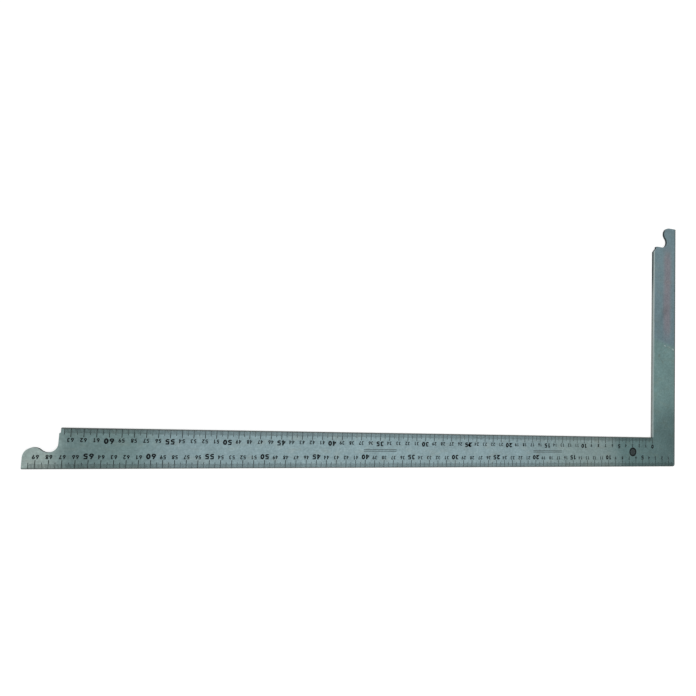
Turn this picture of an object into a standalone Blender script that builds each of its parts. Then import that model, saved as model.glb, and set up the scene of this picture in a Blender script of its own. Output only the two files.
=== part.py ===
"""Steel square ruler: a flat right angle with a long graduated leg and a short plain leg.

Both legs are cut from the same plate and end in an ogee: a round hump, a hollow and a square
shoulder. The square lies flat on Z = 0. X runs along the long leg, from its tip to the corner,
and Y runs along the short leg, from the corner to its tip. The origin is under the middle of
the object's box. All sizes are in metres.
"""

import math

import bpy

# Plate
LONG_LEG_LENGTH = 0.700  # outer edge, from the corner to the tip
SHORT_LEG_LENGTH = 0.300  # outer edge, from the corner to the tip
LEG_WIDTH = 0.035
THICKNESS = 0.0025
ARRIS = 0.00020  # width of the broken edge all round both faces
CORNER_RADIUS = 0.0028  # outer corner of the right angle
LEG_GAP = 0.0003  # clearance where the short leg's solid meets the long leg's

# Ogee at each tip, measured along the leg from its tip and across it from its outer edge
TIP_RADIUS = 0.0008  # outer corner of the tip
END_STRAIGHT = 0.0102  # straight part of the tip, before the hump
HUMP_RADIUS = 0.0080
HOLLOW_RADIUS = 0.0074
SHOULDER_AT = 0.0260  # where the hollow turns up into the square shoulder
SHOULDER_RADIUS = 0.0008
FILLET_HEIGHT = 0.0042  # small step back beside the inner edge
LONG_FILLET = (0.0011, 0.0011)  # where it leaves the shoulder and where it meets the inner edge
SHORT_FILLET = (0.0023, 0.0074)  # the same on the short leg, where it slopes

ARC_STEP = math.radians(7.5)  # turn between neighbouring points of an arc

STEEL_COLOUR = (0.42, 0.47, 0.48, 1.0)
STEEL_ROUGHNESS = 0.38

COLLECTION_NAME = "steel_square_ruler"


def clear_scene():
    """Removes every object that the scene starts with."""
    for obj in list(bpy.data.objects):
        bpy.data.objects.remove(obj, do_unlink=True)


def arc(centre, radius, start_degrees, end_degrees):
    """Points along an arc, both ends included."""
    start = math.radians(start_degrees)
    turn = math.radians(end_degrees) - start
    count = max(2, math.ceil(abs(turn) / ARC_STEP))
    angles = [start + turn * i / count for i in range(count + 1)]
    return [(centre[0] + radius * math.cos(a), centre[1] + radius * math.sin(a)) for a in angles]


def ogee(fillet):
    """The outline of a tip as (along, across) points, from the outer edge to the inner edge.

    fillet holds how far below the shoulder the small step starts and ends.
    """
    hump = (HUMP_RADIUS, END_STRAIGHT)
    hollow_along = SHOULDER_AT - HOLLOW_RADIUS
    reach = HUMP_RADIUS + HOLLOW_RADIUS
    rise = math.sqrt(reach**2 - (hollow_along - hump[0]) ** 2)
    hollow = (hollow_along, END_STRAIGHT + rise)
    meeting = math.degrees(math.atan2(rise, hollow_along - hump[0]))
    fillet_foot = LEG_WIDTH - FILLET_HEIGHT
    shoulder = (SHOULDER_AT + SHOULDER_RADIUS, fillet_foot - SHOULDER_RADIUS)
    return [
        *arc((TIP_RADIUS, TIP_RADIUS), TIP_RADIUS, 270, 180),
        *arc(hump, HUMP_RADIUS, 180, meeting),
        *arc(hollow, HOLLOW_RADIUS, meeting - 180, 0)[1:],
        *arc(shoulder, SHOULDER_RADIUS, 180, 90),
        (SHOULDER_AT + fillet[0], fillet_foot),
        (SHOULDER_AT + fillet[1], LEG_WIDTH),
    ]


def long_leg_outline():
    """The long leg with the outer corner, up to the line of the inner edge."""
    left, right = -LONG_LEG_LENGTH / 2, LONG_LEG_LENGTH / 2
    outer = -SHORT_LEG_LENGTH / 2
    tip = [(left + along, outer + across) for along, across in ogee(LONG_FILLET)]
    corner_centre = (right - CORNER_RADIUS, outer + CORNER_RADIUS)
    return [*tip, (right, outer + LEG_WIDTH), *arc(corner_centre, CORNER_RADIUS, 0, -90)]


def short_leg_outline():
    """The short leg, from the long leg's inner edge to its own tip."""
    right, top = LONG_LEG_LENGTH / 2, SHORT_LEG_LENGTH / 2
    foot = -SHORT_LEG_LENGTH / 2 + LEG_WIDTH + LEG_GAP
    tip = [(right - across, top - along) for along, across in ogee(SHORT_FILLET)]
    return [*tip, (right - LEG_WIDTH, foot), (right, foot)]


def steel():
    """Bare, finely ground steel."""
    material = bpy.data.materials.new("ground_steel")
    material.use_nodes = True
    surface = material.node_tree.nodes["Principled BSDF"]
    surface.inputs["Base Color"].default_value = STEEL_COLOUR
    surface.inputs["Metallic"].default_value = 1.0
    surface.inputs["Roughness"].default_value = STEEL_ROUGHNESS
    material.diffuse_color = STEEL_COLOUR
    return material


def plate(name, outline, collection):
    """A flat bar of the plate's thickness, standing on Z = 0, with its edges broken."""
    curve = bpy.data.curves.new(name, "CURVE")
    curve.dimensions = "2D"
    curve.fill_mode = "BOTH"
    curve.extrude = THICKNESS / 2
    spline = curve.splines.new("POLY")
    spline.points.add(len(outline) - 1)
    for point, (x, y) in zip(spline.points, outline):
        point.co = (x, y, 0.0, 1.0)
    spline.use_cyclic_u = True
    curve.materials.append(steel())
    bar = bpy.data.objects.new(name, curve)
    bar.location.z = THICKNESS / 2
    collection.objects.link(bar)
    weld = bar.modifiers.new("weld_caps", "WELD")
    weld.merge_threshold = 0.00001
    bevel = bar.modifiers.new("broken_edges", "BEVEL")
    bevel.width = ARRIS
    bevel.segments = 1
    bevel.limit_method = "ANGLE"
    bevel.angle_limit = math.radians(40)
    return bar


def main():
    clear_scene()
    collection = bpy.data.collections.new(COLLECTION_NAME)
    bpy.context.scene.collection.children.link(collection)
    plate("long_leg", long_leg_outline(), collection)
    plate("short_leg", short_leg_outline(), collection)


main()
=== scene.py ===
"""Looks of the steel square ruler: one ground steel plate with black-filled graduations.

The plate stands for both CAD legs, which the real object has in one piece. Its outline is made
again from the same driving sizes as the CAD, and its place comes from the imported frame. The
graduations, numerals, round mark and double rules are shallow etched recesses with black fill.
All sizes are in metres.
"""

import math

import bmesh
import bpy
from mathutils import Matrix, Vector


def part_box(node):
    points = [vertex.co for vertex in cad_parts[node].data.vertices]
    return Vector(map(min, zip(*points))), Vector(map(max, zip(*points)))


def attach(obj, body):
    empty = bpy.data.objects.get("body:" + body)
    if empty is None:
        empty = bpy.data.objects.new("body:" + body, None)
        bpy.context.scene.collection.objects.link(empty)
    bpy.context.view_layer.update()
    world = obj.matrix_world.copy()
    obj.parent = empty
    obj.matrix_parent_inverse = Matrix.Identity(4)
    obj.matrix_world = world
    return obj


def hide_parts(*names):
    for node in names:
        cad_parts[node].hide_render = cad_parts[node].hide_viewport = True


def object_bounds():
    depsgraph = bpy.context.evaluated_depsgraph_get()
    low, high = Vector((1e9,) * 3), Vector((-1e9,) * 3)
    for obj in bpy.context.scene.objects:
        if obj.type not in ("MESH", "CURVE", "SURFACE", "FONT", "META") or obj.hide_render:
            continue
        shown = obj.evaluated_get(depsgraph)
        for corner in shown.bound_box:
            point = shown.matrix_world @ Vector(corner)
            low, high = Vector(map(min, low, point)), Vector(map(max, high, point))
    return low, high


# Plate outline, as in the CAD. The ogee is measured along the leg from its tip and across it from its
# outer edge. A fillet is the small step beside the inner edge: where it starts and where it ends.
TIP_RADIUS = 0.0008
END_STRAIGHT = 0.0102
HUMP_RADIUS = 0.0080
HOLLOW_RADIUS = 0.0074
SHOULDER_AT = 0.0260
SHOULDER_RADIUS = 0.0008
FILLET_HEIGHT = 0.0042
LONG_FILLET = (0.0011, 0.0011)
SHORT_FILLET = (0.0023, 0.0074)
CORNER_RADIUS = 0.0028
ARRIS = 0.00020  # width of the broken edge all round both faces
ARC_STEP = math.radians(5)  # turn between neighbouring points of a large arc
SMALL_ARC_STEP = math.radians(15)
CORNER_ARC_STEP = math.radians(10)

# Graduations
MILLIMETRE = 0.001
TICK_START = 0.00022  # how far inside the edge a tick begins
TICK_LENGTHS = {"mm": 0.0044, "half": 0.0056, "cm": 0.0077}
TICK_WIDTHS = {"mm": 0.00032, "half": 0.00052, "cm": 0.00062}
OUTER_FIRST_TICK = 3  # the ones before it would run into the rounded corner
OUTER_LAST_TICK = 695
INNER_LAST_TICK = 635
OUTER_LAST_LABEL = 69
INNER_LAST_LABEL = 63
ETCH_DEPTH = 0.00010
FILL_TOP = 0.00003  # how far the fill's top and bottom lie below the face
FILL_BOTTOM = 0.000095
STRETCH = 10  # length in millimetres of the stretches that the long leg's faces are divided into
LOWER_SHIFT = 5.5  # where the first stretch ends in each half of the leg, clear of the centimetre ticks
UPPER_SHIFT = 0.5

# Numerals, in two sizes. The widths, weights and gaps are shares of the figure's height.
NUMERAL_NEAR = 0.0084  # from the leg's edge to the near side of the figures
NUMERAL_HEIGHT = {"regular": 0.0037, "bold": 0.0050}
NUMERAL_WEIGHT = {"regular": 0.220, "bold": 0.290}
WEIGHT_LIMIT = {"3": 0.25, "5": 0.25, "6": 0.25, "8": 0.205, "9": 0.25}  # keeps their bowls open
NUMERAL_WIDTH = {"regular": 0.64, "bold": 0.76}
NUMERAL_GAP = 0.12
MITRE_LIMIT = 0.35  # least cosine of half a corner's turn, which keeps sharp corners from growing long

# Round mark and double rules on the long leg's centre line
ROUNDEL_AT = 0.0646  # from the outer corner
ROUNDEL_RADIUS = 0.0053
ROUNDEL_RING = 0.0020
FIELD_GAP = 0.0001  # between the ring and the disc inside it
RULES = ((0.1845, 0.0380), (0.3846, 0.0350))  # distance of the middle from the outer corner, and length
RULE_OFFSET = 0.00080  # from the leg's centre line
RULE_WIDTH = 0.00050

# Colours, linear
STEEL_MIDDLE = (0.262, 0.364, 0.388, 1.0)
STEEL_LEFT = (0.205, 0.305, 0.305, 1.0)
STEEL_TIP = (0.450, 0.565, 0.540, 1.0)
STEEL_RIGHT = (0.265, 0.358, 0.355, 1.0)
STEEL_CORNER = (0.150, 0.248, 0.248, 1.0)
STEEL_SHORT_LOW = (0.203, 0.333, 0.328, 1.0)
STEEL_SHORT_HIGH = (0.190, 0.288, 0.325, 1.0)
STEEL_STREAK = (0.310, 0.265, 0.300, 1.0)
# Painted shade along the edges of the faces
STEEL_EDGE_SHADE = (0.120, 0.140, 0.130, 1.0)
STEEL_SHORT_TOP = (0.225, 0.336, 0.376, 1.0)
# Painted highlight along the short leg's inner edge
STEEL_EDGE_HIGHLIGHT = (0.540, 0.650, 0.640, 1.0)
# Painted light on the lower part of the short leg's inner side
STEEL_SIDE_LIT = (0.370, 0.400, 0.390, 1.0)
# Painted shade on the cut sides
STEEL_SIDE_SHADE = (0.042, 0.058, 0.060, 1.0)
# Painted highlight on the arrises
STEEL_ARRIS_HIGHLIGHT = (0.300, 0.340, 0.340, 1.0)
PAPER_WHITE = (0.50, 0.50, 0.50)
INK = (0.006, 0.010, 0.011, 1.0)
TICK_INK = (0.014, 0.015, 0.013, 1.0)
WORN_INK = (0.045, 0.050, 0.047, 1.0)
MARK_GREY = (0.034, 0.046, 0.047, 1.0)
CORNER_SHADE_COLOUR = (0.060, 0.110, 0.110, 1.0)
WARM_TINT = (1.18, 0.97, 0.84, 1.0)
SCRATCH_COLOUR = (0.75, 0.80, 0.82, 1.0)
NICK_COLOUR = (0.85, 0.90, 0.90, 1.0)
STAIN_COLOUR = (0.130, 0.145, 0.115, 1.0)
RECESS_COLOUR = (0.050, 0.055, 0.055, 1.0)

# Where the steel's tone changes, as (start, end). On the long leg this is the distance from the corner
# along the leg, and on the short leg the height above the long leg's outer edge.
LEFT_TONE = (0.588, 0.618)
TIP_TONE = (0.662, 0.692)
RIGHT_TONE = (0.230, 0.130)
CORNER_TONE = (0.104, 0.070)
CORNER_SHADE_ALONG = (0.050, 0.005)
CORNER_SHADE_ABOVE = (0.092, 0.050)
SHORT_LOW_TONE = (0.035, 0.090)
SHORT_HIGH_TONE = (0.149, 0.156)
SHORT_HIGH_MIDDLE = 0.017  # from the short leg's outer edge to where those heights hold
SHORT_TOP_TONE = (0.180, 0.250)
STREAK_IN = 0.0136  # from the short leg's outer edge to the middle of the streak
STREAK_HALF_WIDTH = (0.0092, 0.0018)
STREAK_START = (0.145, 0.180)
STREAK_END = (0.282, 0.255)
# Where the painted highlight along the short leg's inner edge grows stronger
EDGE_HIGHLIGHT_START = (0.130, 0.180)
# Where the painted light on the short leg's inner side ends
LIT_SIDE_END = (0.244, 0.202)

# Marks of wear on the short leg: distance of the middle from its outer edge, height of the middle above
# the long leg's outer edge, half length, half width, turn in degrees, strength
NICKS = (
    (0.0165, 0.1490, 0.0022, 0.00055, -12, 0.75),
    (0.0035, 0.1452, 0.0026, 0.00060, -38, 0.80),
    (0.0100, 0.1478, 0.0035, 0.00035, -18, 0.35),
)
STAINS = (
    (0.0255, 0.1360, 0.0040, 0.0026, 60, 0.45),
    (0.0200, 0.1285, 0.0062, 0.0018, -55, 0.40),
    (0.0170, 0.1315, 0.0030, 0.0030, 0, 0.30),
)
SCRATCH_SETS = ((4, 0.0, 0.71), (-38, 5.0, 0.735), (83, 11.0, 0.72))  # turn, shift and how rare

# Light
ROOM_STRENGTH = 0.50
WALL_STRENGTH = 0.88
WALL_TOP = (0.26, 0.62)  # sine of the elevation where the walls start to dim, and where they end
FLOOR_GLOW = 0.72
FLOOR_RADIUS = 8.0
FLOOR_DROP = 0.0002  # how far below the plate the floor lies
OVERHEAD_AT = (0.35, -0.25, 1.2)
OVERHEAD_SIZE = (1.9, 1.5)
OVERHEAD_RADIANCE = 0.55

# Camera
CAMERA_AT = (-0.1694, -0.0546, 0.3994)
CAMERA_AIM = (-0.0741, -0.0302, 0.0025)
CAMERA_ROLL = 3.0
CAMERA_LENS = 20.875
CAMERA_SENSOR = 36.0


def arc(centre, radius, start_degrees, end_degrees, radius_y=None, step=ARC_STEP):
    """Points along an arc of a circle or an ellipse, both ends included."""
    start = math.radians(start_degrees)
    turn = math.radians(end_degrees) - start
    count = max(3, math.ceil(abs(turn) / step))
    angles = [start + turn * i / count for i in range(count + 1)]
    tall = radius if radius_y is None else radius_y
    return [(centre[0] + radius * math.cos(a), centre[1] + tall * math.sin(a)) for a in angles]


def ogee(leg_width, fillet):
    """The outline of a tip as (along, across) points, from the outer edge to the inner edge."""
    hump = (HUMP_RADIUS, END_STRAIGHT)
    hollow_along = SHOULDER_AT - HOLLOW_RADIUS
    reach = HUMP_RADIUS + HOLLOW_RADIUS
    rise = math.sqrt(reach**2 - (hollow_along - hump[0]) ** 2)
    hollow = (hollow_along, END_STRAIGHT + rise)
    meeting = math.degrees(math.atan2(rise, hollow_along - hump[0]))
    fillet_foot = leg_width - FILLET_HEIGHT
    shoulder = (SHOULDER_AT + SHOULDER_RADIUS, fillet_foot - SHOULDER_RADIUS)
    return [
        *arc((TIP_RADIUS, TIP_RADIUS), TIP_RADIUS, 270, 180, step=SMALL_ARC_STEP),
        *arc(hump, HUMP_RADIUS, 180, meeting),
        *arc(hollow, HOLLOW_RADIUS, meeting - 180, 0)[1:],
        *arc(shoulder, SHOULDER_RADIUS, 180, 90, step=SMALL_ARC_STEP),
        (SHOULDER_AT + fillet[0], fillet_foot),
        (SHOULDER_AT + fillet[1], leg_width),
    ]


def plate_outline(low, high, leg_width):
    """The whole L, anticlockwise from the outer corner's round."""
    round_centre = (high.x - CORNER_RADIUS, low.y + CORNER_RADIUS)
    corner = arc(round_centre, CORNER_RADIUS, -90, 0, step=CORNER_ARC_STEP)
    short_ogee = ogee(leg_width, SHORT_FILLET)
    short_tip = [(high.x - across, high.y - along) for along, across in short_ogee]
    long_ogee = ogee(leg_width, LONG_FILLET)
    long_tip = [(low.x + along, low.y + across) for along, across in long_ogee]
    inner_corner = (high.x - leg_width, low.y + leg_width)
    return [*corner, *short_tip, inner_corner, *reversed(long_tip)]


def mesh_object(name, mesh):
    """Links a mesh to the scene as an object."""
    obj = bpy.data.objects.new(name, mesh)
    bpy.context.scene.collection.objects.link(obj)
    return obj


def applied(obj):
    """Replaces an object's mesh by its evaluated mesh and clears its modifiers."""
    graph = bpy.context.evaluated_depsgraph_get()
    mesh = bpy.data.meshes.new_from_object(obj.evaluated_get(graph))
    obj.modifiers.clear()
    old, obj.data = obj.data, mesh
    bpy.data.meshes.remove(old)
    return obj


def bare_plate(name, outline, thickness):
    """The plate with broken edges and nothing etched."""
    shape = bmesh.new()
    foot = [shape.verts.new((x, y, 0.0)) for x, y in outline]
    face = shape.faces.new(foot)
    top = bmesh.ops.extrude_face_region(shape, geom=[face])
    raised = [v for v in top["geom"] if isinstance(v, bmesh.types.BMVert)]
    bmesh.ops.translate(shape, verts=raised, vec=(0, 0, thickness))
    bmesh.ops.recalc_face_normals(shape, faces=shape.faces)
    rims = [e for e in shape.edges if abs(e.verts[0].co.z - e.verts[1].co.z) < thickness / 2]
    bmesh.ops.bevel(
        shape, geom=rims, offset=ARRIS, offset_type="OFFSET", segments=3, profile=0.5, affect="EDGES"
    )
    mesh = bpy.data.meshes.new(name)
    shape.to_mesh(mesh)
    shape.free()
    return mesh_object(name, mesh)


def strip(points, weight, closed=False):
    """The left and right sides of a stroke of even weight along a path, with mitred corners.

    Returns the pairs of side points, and whether the stroke is a closed ring.
    """
    sides = []
    count = len(points)
    for i, (x, y) in enumerate(points):
        before = points[i - 1] if closed or i else points[i]
        after = points[(i + 1) % count] if closed or i < count - 1 else points[i]
        into = Vector((x - before[0], y - before[1]))
        out = Vector((after[0] - x, after[1] - y))
        into = into.normalized() if into.length else out.normalized()
        out = out.normalized() if out.length else into
        middle = (into + out).normalized()
        reach = weight / 2 / max(MITRE_LIMIT, middle.dot(out))
        aside, ahead = -middle.y * reach, middle.x * reach
        sides.append(((x + aside, y + ahead), (x - aside, y - ahead)))
    return sides, closed


def stroke_prism(name, sides, closed):
    """A stroke as a closed solid one unit high."""
    shape = bmesh.new()
    rings = []
    for left, right in sides:
        rings.append([shape.verts.new((*p, z)) for z in (0.0, 1.0) for p in (left, right)])
    pairs = list(zip(rings, rings[1:]))
    if closed:
        pairs.append((rings[-1], rings[0]))
    for (l0, r0, l1, r1), (m0, s0, m1, s1) in pairs:
        for corners in ((l0, m0, s0, r0), (l1, r1, s1, m1), (l0, l1, m1, m0), (r0, s0, s1, r1)):
            shape.faces.new(corners)
    if not closed:
        for l0, r0, l1, r1 in (rings[0], rings[-1]):
            shape.faces.new((l0, r0, r1, l1))
    bmesh.ops.recalc_face_normals(shape, faces=shape.faces)
    mesh = bpy.data.meshes.new(name)
    shape.to_mesh(mesh)
    shape.free()
    return mesh_object(name, mesh)


def figure_strokes(figure, t, w):
    """The strokes of a figure in a cell one unit high and w wide, for a stroke weight of t.

    Plain sans-serif shapes. y runs from the foot of the figure to its head.
    """
    t = min(t, WEIGHT_LIMIT.get(figure, t))
    h = t / 2
    middle, reach = w / 2, w / 2 - h
    if figure in "69":
        ring = arc((middle, 0.31), reach, 0, 360, 0.31 - h)[:-1]
        tail = [(h + 0.02, 0.40), (0.60 * w, 1 - h * 0.2)]
        if figure == "9":
            ring, tail = ([(w - x, 1 - y) for x, y in path] for path in (ring, tail))
        return [strip(ring, t, True), strip(tail, t)]
    if figure == "0":
        return [strip(arc((middle, 0.5), reach, 0, 360, 0.5 - h)[:-1], t, True)]
    if figure == "1":
        post = strip([(0.62 * w, 0), (0.62 * w, 1)], t)
        return [post, strip([(0.60 * w, 1 - h), (0.16 * w, 0.80)], t * 0.8)]
    if figure == "2":
        bowl = arc((middle, 1 - reach - h), reach, 165, -32)
        return [strip([*bowl, (h * 1.5, h), (w, h)], t)]
    if figure == "3":
        low, high = 0.27 * (1 - t), 0.23 * (1 - t)
        upper = arc((middle, 1 - h - high), reach * 0.88, 150, -90, high)
        lower = arc((middle, h + low), reach, 90, -150, low)
        return [strip(upper, t), strip(lower, t)]
    if figure == "4":
        post = w - h * 1.45
        slant = strip([(post + h * 0.2, 1 - h * 0.5), (h * 0.75, 0.27)], t * 0.66)
        bar = strip([(h * 0.3, 0.27), (w, 0.27)], t * 0.72)
        return [strip([(post, 0), (post, 1)], t), slant, bar]
    if figure == "5":
        bowl = arc((0.45 * w, 0.31), 0.55 * w - h, 126, -142, 0.31 - h)
        flag = [(0.92 * w, 1 - h * 0.9), (0.26 * w, 1 - h * 0.9), (0.20 * w, 0.43)]
        return [strip(flag, t * 0.9), strip(bowl, t)]
    if figure == "7":
        return [strip([(0.02 * w, 1 - h), (w - h * 1.4, 1 - h), (0.30 * w, 0)], t)]
    upper = arc((middle, 0.765), reach * 0.86, 0, 360, 0.235 - h)[:-1]
    lower = arc((middle, 0.285), reach, 0, 360, 0.285 - h)[:-1]
    return [strip(upper, t, True), strip(lower, t, True)]


def joined_figure(figure, style):
    """One figure as a single closed solid one unit high: (points, faces)."""
    strokes = figure_strokes(figure, NUMERAL_WEIGHT[style], NUMERAL_WIDTH[style])
    parts = [stroke_prism(f"figure_{figure}", *stroke) for stroke in strokes]
    whole = parts[0]
    for extra in parts[1:]:
        union = whole.modifiers.new("union", "BOOLEAN")
        union.operation = "UNION"
        union.solver = "MANIFOLD"
        union.object = extra
    bpy.context.view_layer.update()
    applied(whole)
    shape = bmesh.new()
    shape.from_mesh(whole.data)
    bmesh.ops.remove_doubles(shape, verts=shape.verts, dist=1e-5)
    bmesh.ops.dissolve_limit(shape, angle_limit=math.radians(0.5), verts=shape.verts, edges=shape.edges)
    points = [tuple(v.co) for v in shape.verts]
    faces = [[v.index for v in f.verts] for f in shape.faces]
    shape.free()
    for part in parts:
        bpy.data.objects.remove(part, do_unlink=True)
    return points, faces


class Marks:
    """A set of closed solids, each kept as points in the plate's plane and a height of 0 or 1."""

    def __init__(self, name):
        self.name = name
        self.points = []
        self.faces = []

    def add(self, points, faces):
        """Adds one more solid to the set."""
        first = len(self.points)
        self.points += points
        self.faces += [[first + i for i in face] for face in faces]

    def mesh(self, low, high):
        """The solids between two heights."""
        made = bpy.data.meshes.new(self.name)
        made.from_pydata([(x, y, low + (high - low) * z) for x, y, z in self.points], [], self.faces)
        made.validate()
        return made


def prism(outline):
    """A closed solid one unit high on an anticlockwise outline: (points, faces)."""
    count = len(outline)
    points = [(x, y, z) for z in (0.0, 1.0) for x, y in outline]
    walls = [[i, (i + 1) % count, count + (i + 1) % count, count + i] for i in range(count)]
    return points, [list(range(count))[::-1], list(range(count, 2 * count)), *walls]


def band(sides, closed):
    """A closed solid one unit high on a stroke's sides: (points, faces)."""
    made = stroke_prism("band", sides, closed)
    points = [tuple(v.co) for v in made.data.vertices]
    faces = [list(p.vertices) for p in made.data.polygons]
    bpy.data.objects.remove(made, do_unlink=True)
    return points, faces


def add_ticks(marks, zero_x, edge_y, inward, first, last):
    """Millimetre ticks along an edge, counted from the scale's zero towards the tip."""
    for count in range(first, last + 1):
        kind = "cm" if count % 10 == 0 else "half" if count % 5 == 0 else "mm"
        x = zero_x - count * MILLIMETRE
        half = TICK_WIDTHS[kind] / 2
        start = edge_y + inward * TICK_START
        end = edge_y + inward * TICK_LENGTHS[kind]
        low, high = min(start, end), max(start, end)
        marks.add(*prism([(x - half, low), (x + half, low), (x + half, high), (x - half, high)]))


def add_numerals(marks, figures, zero_x, edge_y, inward, first, last):
    """Centimetre numerals, upside down as seen from the outer edge, centred on their ticks."""
    for count in range(first, last + 1):
        style = "bold" if count % 5 == 0 else "regular"
        tall = NUMERAL_HEIGHT[style]
        text = str(count)
        pitch = (NUMERAL_WIDTH[style] + NUMERAL_GAP) * tall
        span = pitch * len(text) - NUMERAL_GAP * tall
        near = edge_y + inward * NUMERAL_NEAR
        base = near if inward < 0 else near + tall
        for place, figure in enumerate(text):
            left = zero_x - count * 10 * MILLIMETRE + span / 2 - place * pitch
            points, faces = figures[style][figure]
            marks.add([(left - x * tall, base - y * tall, z) for x, y, z in points], faces)


def graduations(low, high, leg_width):
    """All sets of etched marks."""
    figures = {
        style: {figure: joined_figure(figure, style) for figure in "0123456789"}
        for style in NUMERAL_WEIGHT
    }
    outer_zero, inner_zero = high.x, high.x - leg_width
    outer_edge, inner_edge = low.y, low.y + leg_width
    ticks_outer, ticks_inner = Marks("outer_scale_ticks"), Marks("inner_scale_ticks")
    add_ticks(ticks_outer, outer_zero, outer_edge, 1, OUTER_FIRST_TICK, OUTER_LAST_TICK)
    add_ticks(ticks_inner, inner_zero, inner_edge, -1, 0, INNER_LAST_TICK)
    numerals_outer, numerals_inner = Marks("outer_scale_numerals"), Marks("inner_scale_numerals")
    add_numerals(numerals_outer, figures, outer_zero, outer_edge, 1, 1, OUTER_LAST_LABEL)
    add_numerals(numerals_inner, figures, inner_zero, inner_edge, -1, 0, INNER_LAST_LABEL)
    middle = low.y + leg_width / 2
    ring = Marks("round_mark_ring")
    centre = (high.x - ROUNDEL_AT, middle)
    ring_path = arc(centre, ROUNDEL_RADIUS - ROUNDEL_RING / 2, 0, 360)[:-1]
    ring.add(*band(*strip(ring_path, ROUNDEL_RING, True)))
    rules = Marks("double_rules")
    for at, length in RULES:
        for side in (-1, 1):
            y = middle + side * RULE_OFFSET
            x = high.x - at
            path = [(x - length / 2, y), (x + length / 2, y)]
            rules.add(*band(*strip(path, RULE_WIDTH)))
    field = Marks("round_mark_field")
    field.add(*prism(arc(centre, ROUNDEL_RADIUS - ROUNDEL_RING - FIELD_GAP, 0, 360)[:-1]))
    return [ticks_outer, ticks_inner, numerals_outer, numerals_inner, ring, rules, field]


def divide_faces(plate, low, high, leg_width):
    """Splits the long leg's flat faces into short stretches, so that no face has hundreds of holes."""
    shape = bmesh.new()
    shape.from_mesh(plate.data)
    middle = low.y + leg_width / 2

    def cut(faces, at, across):
        parts = {v for f in faces for v in f.verts} | {e for f in faces for e in f.edges} | set(faces)
        bmesh.ops.bisect_plane(shape, geom=list(parts), dist=1e-7, plane_co=at, plane_no=across)

    def flats(bottom, top):
        flat = [f for f in shape.faces if abs(f.normal.z) > 0.99]
        return [f for f in flat if bottom < f.calc_center_median().y < top]

    def spans(face, x):
        places = [v.co.x for v in face.verts]
        return min(places) < x < max(places)

    cut(flats(-1, 1), (0, low.y + leg_width, 0), (0, 1, 0))
    cut(flats(low.y, low.y + leg_width), (0, middle, 0), (0, 1, 0))
    stretches = math.ceil((high.x - low.x) / (STRETCH * MILLIMETRE))
    for bottom, shift in ((low.y, LOWER_SHIFT), (middle, UPPER_SHIFT)):
        for count in range(stretches):
            x = high.x - (STRETCH * count + shift) * MILLIMETRE
            near = [f for f in flats(bottom, bottom + leg_width / 2) if spans(f, x)]
            if near:
                cut(near, (x, 0, 0), (1, 0, 0))
    shape.to_mesh(plate.data)
    shape.free()


def etch(plate, sets, face_height):
    """Cuts every mark's recess into the plate."""
    cutters = Marks("recesses")
    for marks in sets:
        cutters.add(marks.points, marks.faces)
    tool = mesh_object("recesses", cutters.mesh(face_height - ETCH_DEPTH, face_height + ETCH_DEPTH))
    cut = plate.modifiers.new("etch", "BOOLEAN")
    cut.operation = "DIFFERENCE"
    cut.solver = "MANIFOLD"
    cut.object = tool
    applied(plate)
    bpy.data.objects.remove(tool, do_unlink=True)


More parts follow.
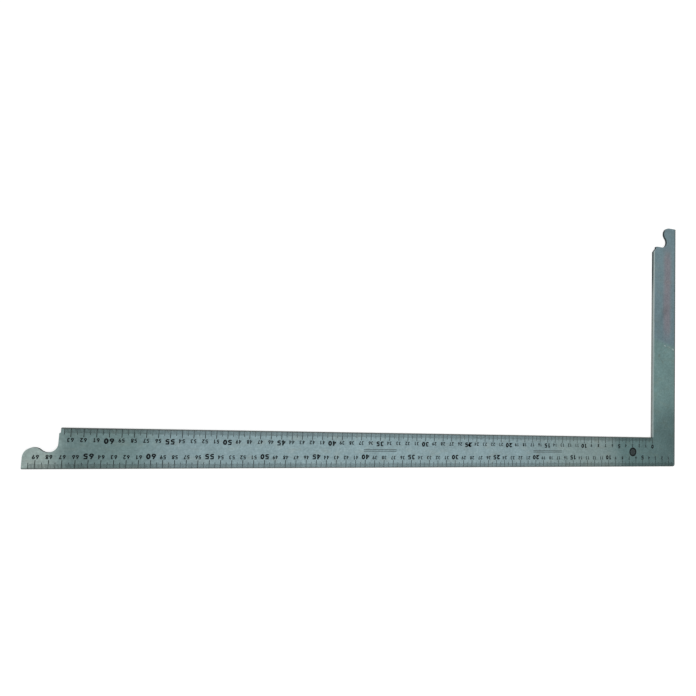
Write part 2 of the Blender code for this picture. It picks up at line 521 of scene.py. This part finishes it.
class Graph:
    """Short ways to build a material's nodes. A value is a number, a tuple or an output socket."""

    def __init__(self, name):
        self.material = bpy.data.materials.new(name)
        self.material.use_nodes = True
        self.tree = self.material.node_tree
        self.surface = self.tree.nodes["Principled BSDF"]
        self.place = self.node("ShaderNodeTexCoord").outputs["Object"]

    def node(self, kind, **settings):
        """A new node of a kind."""
        made = self.tree.nodes.new(kind)
        for key, value in settings.items():
            setattr(made, key, value)
        return made

    def feed(self, socket, value):
        """Links an output to a socket, or sets the socket to a number or a tuple."""
        if isinstance(value, bpy.types.NodeSocket):
            self.tree.links.new(value, socket)
        elif socket.type == "VECTOR":
            socket.default_value = value[:3]
        else:
            socket.default_value = value

    def math(self, operation, first, second=0.0):
        """Arithmetic on one or two numbers."""
        made = self.node("ShaderNodeMath", operation=operation)
        self.feed(made.inputs[0], first)
        self.feed(made.inputs[1], second)
        return made.outputs[0]

    def rise(self, value, start, end):
        """0 below start, 1 above end and a smooth step between (start may be the larger)."""
        made = self.node("ShaderNodeMapRange", interpolation_type="SMOOTHSTEP")
        lower, upper = min(start, end), max(start, end)
        self.feed(made.inputs["Value"], value)
        made.inputs["From Min"].default_value = lower
        made.inputs["From Max"].default_value = upper
        made.inputs["To Min"].default_value = 0.0 if start < end else 1.0
        made.inputs["To Max"].default_value = 1.0 if start < end else 0.0
        return made.outputs["Result"]

    def spread(self, value, low, high):
        """A 0 to 1 value spread from low to high."""
        made = self.node("ShaderNodeMapRange")
        self.feed(made.inputs["Value"], value)
        made.inputs["To Min"].default_value = low
        made.inputs["To Max"].default_value = high
        return made.outputs["Result"]

    def axes(self):
        """x, y and z in the object's own coordinates."""
        made = self.node("ShaderNodeSeparateXYZ")
        self.feed(made.inputs[0], self.place)
        return made.outputs

    def stretched(self, scale, turn=0.0, shift=(0, 0, 0)):
        """The place turned about Z, then scaled and shifted."""
        turned = self.node("ShaderNodeMapping")
        self.feed(turned.inputs["Vector"], self.place)
        turned.inputs["Rotation"].default_value = (0, 0, math.radians(turn))
        made = self.node("ShaderNodeMapping")
        self.feed(made.inputs["Vector"], turned.outputs[0])
        made.inputs["Location"].default_value = shift
        made.inputs["Scale"].default_value = scale
        return made.outputs[0]

    def noise(self, vector, scale=1.0, detail=3.0, roughness=0.55, distortion=0.0):
        """Soft noise, near 0.5 on average."""
        made = self.node("ShaderNodeTexNoise")
        self.feed(made.inputs["Vector"], vector)
        made.inputs["Scale"].default_value = scale
        made.inputs["Detail"].default_value = detail
        made.inputs["Roughness"].default_value = roughness
        made.inputs["Distortion"].default_value = distortion
        return made.outputs["Fac"]

    def mix(self, factor, first, second, blend="MIX"):
        """Two colours mixed by a factor."""
        made = self.node("ShaderNodeMix", data_type="RGBA", blend_type=blend)
        made.clamp_factor = True
        self.feed(made.inputs[0], factor)
        self.feed(made.inputs[6], first)
        self.feed(made.inputs[7], second)
        return made.outputs[2]

    def blend(self, factor, first, second):
        """Two numbers mixed by a factor."""
        made = self.node("ShaderNodeMix", data_type="FLOAT")
        made.clamp_factor = True
        self.feed(made.inputs[0], factor)
        self.feed(made.inputs[2], first)
        self.feed(made.inputs[3], second)
        return made.outputs[0]

    def darken(self, colour, value):
        """A colour times a number."""
        made = self.node("ShaderNodeVectorMath", operation="SCALE")
        self.feed(made.inputs[0], colour)
        self.feed(made.inputs["Scale"], value)
        return made.outputs[0]

    def spot(self, centre_x, centre_y, half_long, half_wide, turn):
        """1 in the middle of an ellipse on the face and 0 outside it."""
        moved = self.node("ShaderNodeVectorMath", operation="SUBTRACT")
        self.feed(moved.inputs[0], self.place)
        moved.inputs[1].default_value = (centre_x, centre_y, 0)
        turned = self.node("ShaderNodeVectorRotate", rotation_type="Z_AXIS")
        self.feed(turned.inputs["Vector"], moved.outputs[0])
        turned.inputs["Angle"].default_value = math.radians(-turn)
        scaled = self.node("ShaderNodeVectorMath", operation="MULTIPLY")
        self.feed(scaled.inputs[0], turned.outputs[0])
        scaled.inputs[1].default_value = (1 / half_long, 1 / half_wide, 0)
        length = self.node("ShaderNodeVectorMath", operation="LENGTH")
        self.feed(length.inputs[0], scaled.outputs[0])
        return self.rise(length.outputs["Value"], 1.0, 0.2)

    def product(self, *values):
        """All the numbers multiplied together."""
        total = values[0]
        for value in values[1:]:
            total = self.math("MULTIPLY", total, value)
        return total


class SteelGraph(Graph):
    """The nodes of the ground steel, with the plate's own measures at hand."""

    def __init__(self, low, high, leg_width):
        super().__init__("ground_steel")
        self.low, self.high = low, high
        self.inner_x = high.x - leg_width
        self.inner_y = low.y + leg_width
        self.x, self.y, self.z = self.axes()
        self.on_short = self.rise(self.y, self.inner_y - 0.004, self.inner_y + 0.004)

    def along(self, span):
        """Distances from the corner along the long leg, as x."""
        return [self.high.x - distance for distance in span]

    def above(self, span):
        """Heights above the long leg's outer edge, as y."""
        return [self.low.y + height for height in span]

    def regions(self):
        """Slow changes of tone: teal grey, greener and darker round the corner, bluish higher up."""
        wander = self.spread(self.noise(self.place, 14.0, 2.0), -0.03, 0.03)
        slight = self.math("MULTIPLY", wander, 0.08)
        x = self.math("ADD", self.x, wander)
        y = self.math("ADD", self.y, self.math("MULTIPLY", wander, 0.6))
        colour = self.mix(self.rise(x, *self.along(LEFT_TONE)), STEEL_MIDDLE, STEEL_LEFT)
        colour = self.mix(self.rise(x, *self.along(TIP_TONE)), colour, STEEL_TIP)
        colour = self.mix(self.rise(x, *self.along(RIGHT_TONE)), colour, STEEL_RIGHT)
        colour = self.mix(self.rise(x, *self.along(CORNER_TONE)), colour, STEEL_CORNER)
        low_part = self.product(self.on_short, self.rise(y, *self.above(SHORT_LOW_TONE)))
        colour = self.mix(low_part, colour, STEEL_SHORT_LOW)

        # The short leg turns bluish at a sharp line, which lies a little aslant
        slope_zero = self.high.x - SHORT_HIGH_MIDDLE
        slope = self.math("MULTIPLY", self.math("SUBTRACT", self.x, slope_zero), 0.25)
        line = self.math("ADD", self.math("ADD", self.y, slope), slight)
        high_part = self.product(self.on_short, self.rise(line, *self.above(SHORT_HIGH_TONE)))
        colour = self.mix(high_part, colour, STEEL_SHORT_HIGH)
        colour = self.mix(self.rise(y, *self.above(SHORT_TOP_TONE)), colour, STEEL_SHORT_TOP)

        # A faint pinkish streak runs up the short leg
        streak_x = self.high.x - STREAK_IN
        off = self.math("ABSOLUTE", self.math("SUBTRACT", self.math("ADD", self.x, slight), streak_x))
        start = self.rise(self.y, *self.above(STREAK_START))
        end = self.rise(self.y, *self.above(STREAK_END))
        streak = self.product(self.rise(off, *STREAK_HALF_WIDTH), start, end, 0.66)
        colour = self.mix(streak, colour, STEEL_STREAK)

        # Painted shade: the corner is darkest towards its outer edges
        shade_along = self.rise(self.x, *self.along(CORNER_SHADE_ALONG))
        shade_above = self.rise(self.y, *self.above(CORNER_SHADE_ABOVE))
        shade = self.product(shade_along, shade_above, 0.36)
        return self.mix(shade, colour, CORNER_SHADE_COLOUR)

    def ground(self, colour):
        """Adds mottling and the grain left by grinding, which runs along each leg: (colour, grain)."""
        cloud = self.spread(self.noise(self.place, 60.0, 3.0), 0.84, 1.16)
        mottle = self.spread(self.noise(self.place, 520.0, 3.0, 0.6), 0.62, 1.38)
        grain_long = self.noise(self.stretched((35, 2600, 1)), 1.0, 3.0, 0.6)
        grain_short = self.noise(self.stretched((2600, 35, 1)), 1.0, 3.0, 0.6)
        grain = self.blend(self.on_short, grain_long, grain_short)
        colour = self.darken(colour, self.product(cloud, mottle, self.spread(grain, 0.76, 1.24)))
        bands = self.noise(self.stretched((70, 130, 1), 0.0, (3, 1, 0)), 1.0, 3.0, 0.55)
        warm = self.product(self.rise(bands, 0.50, 0.72), 0.30)
        return self.mix(warm, colour, self.mix(1.0, colour, WARM_TINT, "MULTIPLY")), grain

    def handled(self, colour):
        """Adds scratches, nicks, stains and smudges of old oil: (colour, scratches, smudges)."""
        scratches = 0.0
        for turn, shift, limit in SCRATCH_SETS:
            lines = self.noise(self.stretched((75, 2600, 1), turn, (shift, shift, 0)), 1.0, 1.0, 0.4)
            scratches = self.math("MAXIMUM", self.rise(lines, limit, limit + 0.03), scratches)
        colour = self.mix(self.product(scratches, 0.16), colour, SCRATCH_COLOUR)
        for inward, up, half_long, half_wide, turn, strength in NICKS:
            nick = self.spot(self.high.x - inward, self.low.y + up, half_long, half_wide, turn)
            colour = self.mix(self.product(nick, strength), colour, NICK_COLOUR)
        ragged = self.rise(self.noise(self.place, 380.0, 3.0), 0.35, 0.65)
        for inward, up, half_long, half_wide, turn, strength in STAINS:
            stain = self.spot(self.high.x - inward, self.low.y + up, half_long, half_wide, turn)
            colour = self.mix(self.product(stain, ragged, strength), colour, STAIN_COLOUR)
        smudges = self.rise(self.noise(self.place, 38.0, 4.0, 0.6, 0.6), 0.60, 0.74)
        colour = self.mix(self.product(smudges, 0.28), colour, self.darken(colour, 0.72))
        return colour, scratches, smudges

    def edged(self, colour):
        """Adds painted shade, a dark line along the outer edges and the long leg's inner edge, and a
        painted highlight, a bright line along the short leg's inner edge."""
        past_corner = self.rise(self.x, self.inner_x - 0.0005, self.inner_x + 0.0005)
        off_inner = self.math("ABSOLUTE", self.math("SUBTRACT", self.y, self.inner_y))
        from_inner = self.math("ADD", off_inner, past_corner)
        from_right = self.math("MULTIPLY", self.math("SUBTRACT", self.high.x, self.x), 0.6)
        from_bottom = self.math("SUBTRACT", self.y, self.low.y)
        from_outer = self.math("MINIMUM", from_bottom, from_right)
        # Painted shade: a darker line along the outer edges and the long leg's inner edge
        line = self.rise(self.math("MINIMUM", from_inner, from_outer), 0.0015, 0.0004)
        line = self.product(line, self.spread(self.on_short, 0.75, 0.95))
        colour = self.mix(line, colour, STEEL_EDGE_SHADE)

        # Painted highlight: a bright, ragged line along the short leg's inner edge, stronger higher up
        ragged = self.noise(self.stretched((300, 45, 1)), 1.0, 4.0, 0.65)
        edge_highlight_x = self.math("ADD", self.x, self.spread(ragged, -0.0014, 0.0014))
        edge_highlight = self.rise(edge_highlight_x, self.inner_x + 0.0023, self.inner_x + 0.0010)
        past_inner = self.rise(self.y, self.inner_y, self.inner_y + 0.001)
        higher = self.spread(self.rise(self.y, *self.above(EDGE_HIGHLIGHT_START)), 0.52, 0.88)
        return self.mix(self.product(edge_highlight, past_inner, higher), colour, STEEL_EDGE_HIGHLIGHT)

    def cut(self, colour):
        """Adds the cut sides, darkened by painted shade and marked across the thickness, with painted
        light low on the short leg's inner side, and a painted highlight on the arrises: (colour, side,
        arris, striation)."""
        normal = self.node("ShaderNodeNewGeometry").outputs["Normal"]
        facing = self.node("ShaderNodeSeparateXYZ")
        self.feed(facing.inputs[0], normal)
        flatness = self.math("ABSOLUTE", facing.outputs["Z"])
        side = self.rise(flatness, 0.25, 0.10)
        arris = self.product(self.rise(flatness, 0.15, 0.30), self.rise(flatness, 0.995, 0.90))
        striation = self.noise(self.stretched((1500, 1500, 60)), 1.0, 3.0, 0.6)
        # Painted light: the lower part of the short leg's inner side is coloured pale, as if lit
        at_inner = self.rise(self.x, self.inner_x + 0.001, self.inner_x - 0.001)
        near_inner = self.rise(self.x, self.inner_x - 0.015, self.inner_x - 0.005)
        below_tip = self.rise(self.y, *self.above(LIT_SIDE_END))
        past_inner = self.rise(self.y, self.inner_y, self.inner_y + 0.001)
        lit_side = self.product(at_inner, near_inner, below_tip, past_inner)
        # Painted shade: the cut sides are coloured much darker than the faces
        side_colour = self.mix(lit_side, STEEL_SIDE_SHADE, STEEL_SIDE_LIT)
        side_colour = self.darken(side_colour, self.spread(striation, 0.55, 1.45))
        # The sides are darker towards the bottom
        upper = self.rise(self.z, 0.0004, 0.0016)
        side_colour = self.darken(side_colour, self.spread(upper, 0.6, 1.1))
        colour = self.mix(side, colour, side_colour)
        # Painted highlight: the arrises are mixed halfway towards a brighter steel
        return self.mix(self.product(arris, 0.5), colour, STEEL_ARRIS_HIGHLIGHT), side, arris, striation

    def etched(self, colour, arris):
        """Darkens the floors and walls of the recesses, as far as the fill leaves them in sight."""
        face = self.high.z
        below_face = self.rise(self.z, face - 0.000010, face - 0.000025)
        above_side = self.rise(self.z, face - 0.0005, face - 0.0003)
        above_arris = self.rise(self.z, face - ARRIS, face - ARRIS + 0.00002)
        not_arris = self.math("SUBTRACT", 1.0, arris)
        recess = self.product(below_face, above_side, not_arris, above_arris, 0.8)
        return self.mix(recess, colour, RECESS_COLOUR)


def ground_steel(low, high, leg_width):
    """Satin ground steel with the wear of use."""
    g = SteelGraph(low, high, leg_width)
    colour, grain = g.ground(g.regions())
    colour, scratches, smudges = g.handled(colour)
    colour, side, arris, striation = g.cut(g.edged(colour))
    colour = g.etched(colour, arris)

    roughness = g.spread(g.noise(g.place, 55.0, 4.0, 0.6), 0.33, 0.47)
    roughness = g.math("ADD", roughness, g.spread(grain, -0.05, 0.05))
    roughness = g.math("ADD", roughness, g.product(smudges, -0.08))
    roughness = g.blend(side, roughness, 0.5)

    pits = g.noise(g.place, 900.0, 3.0)
    height = g.math("ADD", g.product(grain, 0.7), g.product(pits, 0.5))
    height = g.math("SUBTRACT", height, g.product(scratches, 0.4))
    height = g.blend(side, height, g.product(striation, 1.5))
    bump = g.node("ShaderNodeBump")
    bump.inputs["Strength"].default_value = 0.25
    bump.inputs["Distance"].default_value = 0.00003
    g.feed(bump.inputs["Height"], height)

    g.feed(g.surface.inputs["Base Color"], colour)
    g.feed(g.surface.inputs["Roughness"], roughness)
    g.feed(g.surface.inputs["Normal"], bump.outputs[0])
    g.surface.inputs["Metallic"].default_value = 1.0
    return g.material


def fill(name, colour, worn_colour, wear_limit, roughness):
    """Paint wiped into an etched recess, thin and worn in places."""
    g = Graph(name)
    patches = g.rise(g.noise(g.place, 700.0, 4.0, 0.7), wear_limit, wear_limit + 0.14)
    tone = g.spread(g.noise(g.place, 160.0, 3.0), 0.75, 1.25)
    gloss = g.spread(g.noise(g.place, 500.0, 3.0), roughness - 0.1, roughness + 0.1)
    g.feed(g.surface.inputs["Base Color"], g.darken(g.mix(patches, colour, worn_colour), tone))
    g.feed(g.surface.inputs["Roughness"], gloss)
    g.surface.inputs["Specular IOR Level"].default_value = 0.12
    bump = g.node("ShaderNodeBump")
    bump.inputs["Strength"].default_value = 0.3
    bump.inputs["Distance"].default_value = 0.00002
    g.feed(bump.inputs["Height"], g.noise(g.place, 2500.0, 3.0))
    g.feed(g.surface.inputs["Normal"], bump.outputs[0])
    return g.material


def floor():
    """A large pale sheet, lit a little from below like a light table."""
    bpy.ops.mesh.primitive_circle_add(vertices=96, radius=FLOOR_RADIUS, fill_type="NGON")
    ground = bpy.context.object
    ground.location.z = -FLOOR_DROP
    ground.name = "floor"
    g = Graph("floor_white")
    tone = g.spread(g.noise(g.place, 3.0, 2.0), 0.985, 1.0)
    g.feed(g.surface.inputs["Base Color"], g.darken(PAPER_WHITE, tone))
    g.surface.inputs["Roughness"].default_value = 0.9
    g.surface.inputs["Specular IOR Level"].default_value = 0.2
    g.surface.inputs["Emission Color"].default_value = (1, 1, 1, 1)
    g.surface.inputs["Emission Strength"].default_value = FLOOR_GLOW
    ground.data.materials.append(g.material)


def camera():
    """Low over the long leg's far half, so that the tip is nearest and the corner is furthest."""
    data = bpy.data.cameras.new("camera")
    data.lens = CAMERA_LENS
    data.sensor_width = CAMERA_SENSOR
    data.clip_start = 0.01
    obj = bpy.data.objects.new("camera", data)
    bpy.context.scene.collection.objects.link(obj)
    place = Vector(CAMERA_AT)
    back = (place - Vector(CAMERA_AIM)).normalized()
    right = Vector((0, 1, 0)).cross(back).normalized()
    up = back.cross(right)
    roll = Matrix.Rotation(math.radians(CAMERA_ROLL), 3, "Z")
    basis = Matrix((right, up, back)).transposed() @ roll
    obj.matrix_world = Matrix.Translation(place) @ basis.to_4x4()
    bpy.context.scene.camera = obj


def room():
    """The world: pale walls, and a dimmer ceiling above them."""
    world = bpy.data.worlds.new("studio")
    world.use_nodes = True
    tree = world.node_tree
    background = tree.nodes["Background"]
    direction = tree.nodes.new("ShaderNodeSeparateXYZ")
    tree.links.new(tree.nodes.new("ShaderNodeTexCoord").outputs["Generated"], direction.inputs[0])
    strength = tree.nodes.new("ShaderNodeMapRange")
    strength.interpolation_type = "SMOOTHSTEP"
    strength.inputs["From Min"].default_value = WALL_TOP[0]
    strength.inputs["From Max"].default_value = WALL_TOP[1]
    strength.inputs["To Min"].default_value = WALL_STRENGTH
    strength.inputs["To Max"].default_value = ROOM_STRENGTH
    tree.links.new(direction.outputs["Z"], strength.inputs["Value"])
    background.inputs["Color"].default_value = (1.0, 1.0, 1.0, 1.0)
    tree.links.new(strength.outputs["Result"], background.inputs["Strength"])
    bpy.context.scene.world = world


def overhead_softbox():
    """One broad softbox, high over the corner's side of the long leg."""
    data = bpy.data.lights.new("overhead", "AREA")
    data.shape = "RECTANGLE"
    data.size, data.size_y = OVERHEAD_SIZE
    data.energy = OVERHEAD_RADIANCE * math.pi * data.size * data.size_y
    lamp = bpy.data.objects.new("overhead", data)
    lamp.location = OVERHEAD_AT
    bpy.context.scene.collection.objects.link(lamp)


def add_fills(sets, face_height):
    """Puts the black or grey fill into every recess, as one piece for each set of marks."""
    figure_fill = fill("figure_fill", INK, WORN_INK, 0.72, 0.7)
    tick_fill = fill("tick_fill", TICK_INK, WORN_INK, 0.66, 0.7)
    grey_fill = fill("grey_fill", MARK_GREY, WORN_INK, 0.60, 0.45)
    fills = {"ticks": tick_fill, "rules": tick_fill, "field": grey_fill}
    for marks in sets:
        solids = marks.mesh(face_height - FILL_BOTTOM, face_height - FILL_TOP)
        piece = mesh_object(marks.name, solids)
        piece.data.materials.append(fills.get(marks.name.rsplit("_", 1)[1], figure_fill))
        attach(piece, "root")


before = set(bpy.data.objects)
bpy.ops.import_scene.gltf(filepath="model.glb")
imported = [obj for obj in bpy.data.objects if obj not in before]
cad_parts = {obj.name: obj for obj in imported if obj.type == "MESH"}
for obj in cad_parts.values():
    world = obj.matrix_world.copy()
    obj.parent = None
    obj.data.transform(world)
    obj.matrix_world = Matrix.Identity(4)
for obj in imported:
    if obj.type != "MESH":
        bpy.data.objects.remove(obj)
cad_low, cad_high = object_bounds()
long_low, long_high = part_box("long_leg")
low_corner, high_corner = Vector(cad_low), Vector(cad_high)
width = long_high[1] - long_low[1]
thickness = cad_high[2] - cad_low[2]
bpy.context.scene.view_settings.view_transform = "Standard"

camera()
room()
overhead_softbox()
floor()

plate = bare_plate("square_plate", plate_outline(low_corner, high_corner, width), thickness)
mark_sets = graduations(low_corner, high_corner, width)
divide_faces(plate, low_corner, high_corner, width)
etch(plate, mark_sets, thickness)
plate.data.materials.clear()
plate.data.materials.append(ground_steel(low_corner, high_corner, width))
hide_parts("long_leg", "short_leg")
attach(plate, "root")
add_fills(mark_sets, thickness)
